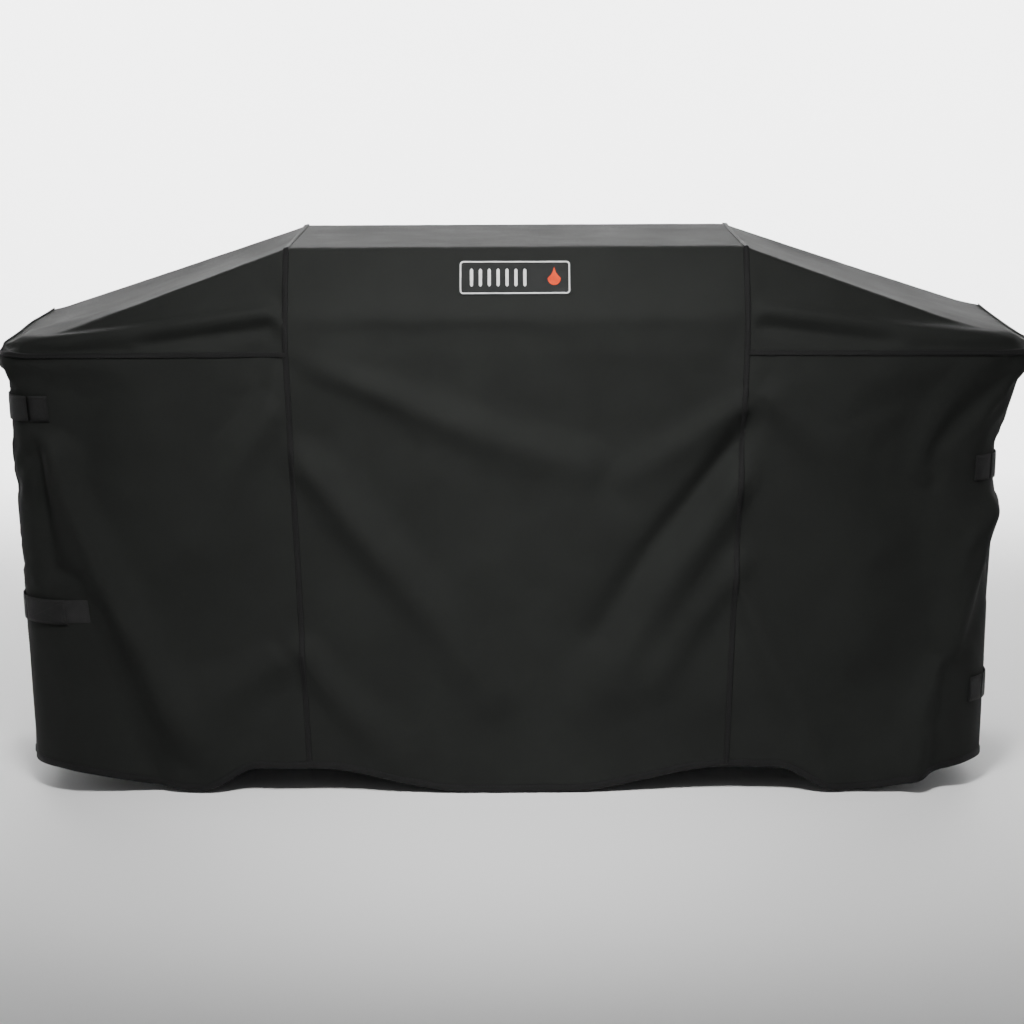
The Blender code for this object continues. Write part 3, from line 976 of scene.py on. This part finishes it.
def between(nodes, links, factor, low, high):
    node = nodes.new("ShaderNodeMix")
    node.data_type = "RGBA"
    node.inputs[6].default_value = (*low, 1.0)
    node.inputs[7].default_value = (*high, 1.0)
    links.new(factor, node.inputs[0])
    return node.outputs[2]


def spread(nodes, links, value, low, high, to_low, to_high):
    node = nodes.new("ShaderNodeMapRange")
    for slot, number in zip(range(1, 5), (low, high, to_low, to_high)):
        node.inputs[slot].default_value = number
    links.new(value, node.inputs[0])
    return node.outputs[0]


def cover_material():
    """Charcoal coated polyester: a fine weave and soft mottling."""
    made, nodes, links, shader = shader_of("coated_polyester", 0.62)
    uv = nodes.new("ShaderNodeUVMap")
    uv.uv_map = "weave"
    threads = weave(nodes, links, uv.outputs[0], 900.0)
    place = nodes.new("ShaderNodeTexCoord").outputs["Object"]
    cloudy = noise(nodes, links, place, 9.0, 5.0)
    grain = noise(nodes, links, place, 240.0, 3.0)
    mottle = math_node(nodes, links, "MULTIPLY", cloudy, 0.7)
    mottle = math_node(nodes, links, "ADD", mottle, math_node(nodes, links, "MULTIPLY", grain, 0.3))
    tone = math_node(nodes, links, "ADD", math_node(nodes, links, "MULTIPLY", threads, 0.45),
                     math_node(nodes, links, "MULTIPLY", mottle, 0.55))
    colour = between(nodes, links, spread(nodes, links, tone, 0.2, 0.75, 0.0, 1.0),
                     (0.0108, 0.0113, 0.0106), (0.0205, 0.0218, 0.0203))
    links.new(colour, shader.inputs["Base Color"])
    rough = spread(nodes, links, mottle, 0.3, 0.7, 0.60, 0.76)
    links.new(rough, shader.inputs["Roughness"])
    shader.inputs["Sheen Weight"].default_value = 0.01
    shader.inputs["Sheen Roughness"].default_value = 0.5
    shader.inputs["Specular IOR Level"].default_value = 0.03
    height = math_node(nodes, links, "ADD", threads, math_node(nodes, links, "MULTIPLY", grain, 0.5))
    bump = nodes.new("ShaderNodeBump")
    bump.inputs["Distance"].default_value = 0.00025
    bump.inputs["Strength"].default_value = 0.6
    links.new(height, bump.inputs["Height"])
    links.new(bump.outputs[0], shader.inputs["Normal"])
    return made


def thread_material(name, dark, light, threads_per_metre, roughness):
    """Webbing and tape: ribs across, a little mottling, matt."""
    made, nodes, links, shader = shader_of(name, roughness)
    shader.inputs["Specular IOR Level"].default_value = 0.18
    place = nodes.new("ShaderNodeTexCoord").outputs["Object"]
    parts = nodes.new("ShaderNodeSeparateXYZ")
    links.new(place, parts.inputs[0])
    total = math_node(nodes, links, "ADD", parts.outputs[0], parts.outputs[1])
    ribs = math_node(nodes, links, "SINE",
                     math_node(nodes, links, "MULTIPLY", total, threads_per_metre * math.pi))
    cross = math_node(nodes, links, "SINE",
                      math_node(nodes, links, "MULTIPLY", parts.outputs[2], threads_per_metre * math.pi))
    woven = math_node(nodes, links, "MULTIPLY", ribs, cross)
    cloudy = noise(nodes, links, place, 60.0, 4.0)
    tone = math_node(nodes, links, "ADD", math_node(nodes, links, "MULTIPLY", woven, 0.25),
                     math_node(nodes, links, "MULTIPLY", cloudy, 1.0))
    links.new(between(nodes, links, spread(nodes, links, tone, 0.2, 0.9, 0.0, 1.0), dark, light),
              shader.inputs["Base Color"])
    links.new(spread(nodes, links, cloudy, 0.3, 0.7, roughness - 0.08, roughness + 0.08),
              shader.inputs["Roughness"])
    bump = nodes.new("ShaderNodeBump")
    bump.inputs["Distance"].default_value = 0.0003
    bump.inputs["Strength"].default_value = 0.7
    links.new(woven, bump.inputs["Height"])
    links.new(bump.outputs[0], shader.inputs["Normal"])
    return made


# Camera, light and floor


def look_through_camera():
    camera = bpy.data.objects.new("camera", bpy.data.cameras.new("camera"))
    bpy.context.scene.collection.objects.link(camera)
    camera.location = (0.0, -CAMERA_DISTANCE, CAMERA_HEIGHT)
    camera.rotation_euler = (math.radians(90 - CAMERA_PITCH), math.radians(CAMERA_ROLL), 0.0)
    camera.data.lens = CAMERA_LENS
    camera.data.sensor_width = 36.0
    camera.data.shift_x = CAMERA_SHIFT
    camera.data.clip_end = 60
    bpy.context.scene.camera = camera


def area_light(name, place, aim, size, power, spread_degrees=180):
    lamp = bpy.data.lights.new(name, "AREA")
    lamp.spread = math.radians(spread_degrees)
    lamp.shape = "RECTANGLE"
    lamp.size, lamp.size_y = size
    lamp.energy = power
    made = bpy.data.objects.new(name, lamp)
    bpy.context.scene.collection.objects.link(made)
    made.location = place
    direction = Vector(aim) - Vector(place)
    made.rotation_euler = direction.to_track_quat("-Z", "Y").to_euler()


def backdrop(material):
    """A pale floor that curves up into a wall behind."""
    sweep = [(-FLOOR_REACH, 0.0), (WALL_Y - WALL_CURVE, 0.0)]
    for turn in range(10, 91, 10):
        angle = math.radians(turn)
        sweep.append((WALL_Y - WALL_CURVE + WALL_CURVE * math.sin(angle),
                      WALL_CURVE * (1 - math.cos(angle))))
    sweep.append((WALL_Y, WALL_HEIGHT))
    points = [(x, y, z) for y, z in sweep for x in (-FLOOR_REACH, FLOOR_REACH)]
    faces = [(2 * i, 2 * i + 1, 2 * i + 3, 2 * i + 2) for i in range(len(sweep) - 1)]
    link_mesh("floor", points, faces, material)


def studio():
    world = bpy.data.worlds.new("studio")
    bpy.context.scene.world = world
    world.use_nodes = True
    world.node_tree.nodes["Background"].inputs["Color"].default_value = (1.0, 1.0, 1.0, 1.0)
    world.node_tree.nodes["Background"].inputs["Strength"].default_value = WORLD_LIGHT
    pale = bpy.data.materials.new("floor")
    pale.use_nodes = True
    shader = pale.node_tree.nodes["Principled BSDF"]
    shader.inputs["Base Color"].default_value = (0.90, 0.90, 0.90, 1.0)
    shader.inputs["Roughness"].default_value = 0.9
    backdrop(pale)
    area_light("top_light", (0.0, 0.3, 3.2), (0.0, 0.0, 0.8), (2.6, 1.6), TOP_LIGHT)
    area_light("front_light", (-0.12, -2.0, 2.45), (0.0, -0.3, 0.52), (0.7, 0.5), FRONT_LIGHT, 60)
    for x in (-3.0, 3.0):
        area_light("end_light", (x * 1.2, 0.7, 0.9), (x * 0.3, 0.1, 0.45), (1.2, 1.0), END_LIGHT, 80)
        area_light("wall_light", (x, 1.4, 4.2), (x * 0.6, WALL_Y, 3.0), (2.5, 1.0), WALL_LIGHT, 120)


def add_panels(welded, grids):
    cloth = cover_material()
    for slot, name in enumerate(grids):
        panel = cut_panel(welded, slot, name)
        panel.data.materials.append(cloth)
        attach(panel, "root")
        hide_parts(CAD_PANEL[name])


def main():
    grids = patches()
    welded = weld(grids)
    draped = Draped(mesh_array(welded, "co"))
    add_folds(welded)
    points = drape(welded)
    welded.vertices.foreach_set("co", points.ravel())
    welded.update()
    draped.settle(welded)
    add_panels(welded, grids)
    binding = thread_material("binding_tape", (0.004, 0.004, 0.004), (0.010, 0.010, 0.010), 1100.0, 0.72)
    thread = thread_material("sewing_thread", (0.008, 0.008, 0.008), (0.018, 0.018, 0.018), 2600.0, 0.60)
    webbing = thread_material("webbing", (0.007, 0.007, 0.007), (0.017, 0.017, 0.017), 700.0, 0.70)
    hook = thread_material("hook_tape", (0.006, 0.006, 0.006), (0.016, 0.016, 0.016), 900.0, 0.50)
    loop = thread_material("loop_tape", (0.010, 0.010, 0.010), (0.028, 0.028, 0.028), 500.0, 0.85)
    white = thread_material("label_white", (0.55, 0.55, 0.54), (0.80, 0.80, 0.79), 1500.0, 0.70)
    accent = thread_material("label_orange", (0.50, 0.035, 0.010), (0.75, 0.080, 0.018), 1500.0, 0.65)
    patch = thread_material("label_ground", (0.012, 0.013, 0.013), (0.024, 0.025, 0.024), 1500.0, 0.70)
    add_seams(grids, draped, binding, thread)
    add_hem(grids, draped, binding, thread)
    add_straps(webbing, hook, loop, thread)
    add_label(welded, patch, white, accent)
    look_through_camera()
    studio()


main()
